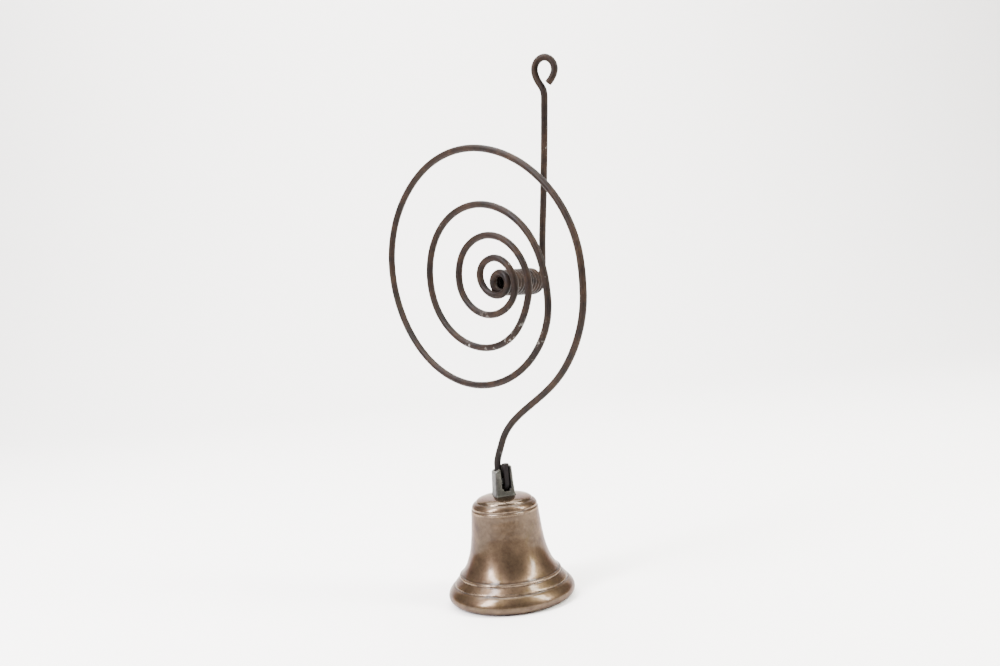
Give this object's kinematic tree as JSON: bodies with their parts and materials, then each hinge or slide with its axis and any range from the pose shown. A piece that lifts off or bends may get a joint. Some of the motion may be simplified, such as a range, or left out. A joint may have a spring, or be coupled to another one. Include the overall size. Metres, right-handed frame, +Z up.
{
  "type": "spring-mounted servants' call bell",
  "caption": "Cast hand-size bell hung on one bent iron wire: pull eye and arm, horizontal barrel coil, flat spiral spring and S-neck into the bell's lug, with a clapper.",
  "frame": {"origin": "centre of the bell's mouth, on the plane that the mouth stands on", "axes": "+Z up the bell's axis from the mouth to the crown; +Y along the barrel coil from its front ring to its rear, towards the wall that the coil is pegged to"},
  "size_m": [0.1452, 0.0758, 0.3172],
  "materials": {
    "iron_wire": "dark rusty iron, worn smoother on its outer side",
    "bell_bronze": "worn polished bronze with a brown patina",
    "clapper_iron": "forged iron",
    "solder": "dull lead-tin solder"
  },
  "bodies": {
    "bell": {"bell_casting": "bell_bronze", "clapper_staple": "clapper_iron", "lug_solder": "solder", "wire_tail": "iron_wire", "wire_neck": "iron_wire", "spiral_outer_turn": "iron_wire"},
    "spiral": {"spiral_outer_flex": "iron_wire", "spiral_middle_turn": "iron_wire"},
    "barrel": {"spiral_inner_flex": "iron_wire", "spiral_inner_turn": "iron_wire", "barrel_coil": "iron_wire"},
    "arm": {"barrel_end_turn": "iron_wire", "pull_arm": "iron_wire", "pull_eye": "iron_wire"},
    "clapper": {"clapper_rod": "clapper_iron", "clapper_ball": "clapper_iron"}
  },
  "joints": [
    {"name": "spiral_outer_wind", "type": "hinge", "parent": "bell", "child": "spiral", "pos_m": [0.0169, -0.0162, 0.1885], "axis": [0.3074, 0.9516, 0], "range_deg": [-4, 4], "stiffness_Nm_per_rad": 7.6, "deforming": ["spiral_outer_flex"]},
    {"name": "spiral_inner_wind", "type": "hinge", "parent": "spiral", "child": "barrel", "pos_m": [0.0169, -0.0162, 0.1885], "axis": [0.3074, 0.9516, 0], "range_deg": [-4, 4], "stiffness_Nm_per_rad": 7.6, "deforming": ["spiral_inner_flex"]},
    {"name": "arm_twist", "type": "hinge", "parent": "barrel", "child": "arm", "pos_m": [0.0174, 0.0319, 0.1867], "axis": [0.0117, 0.9993, -0.0349], "range_deg": [-15, 15], "stiffness_Nm_per_rad": 6.9, "deforming": ["barrel_end_turn"]},
    {"name": "clapper_swing", "type": "hinge", "parent": "bell", "child": "clapper", "pos_m": [0, 0, 0.0513], "axis": [0, 1, 0], "range_deg": [-24, 24]}
  ],
  "couplings": [
    {"joint": "spiral_inner_wind", "follows": "spiral_outer_wind", "ratio": 1}
  ]
}
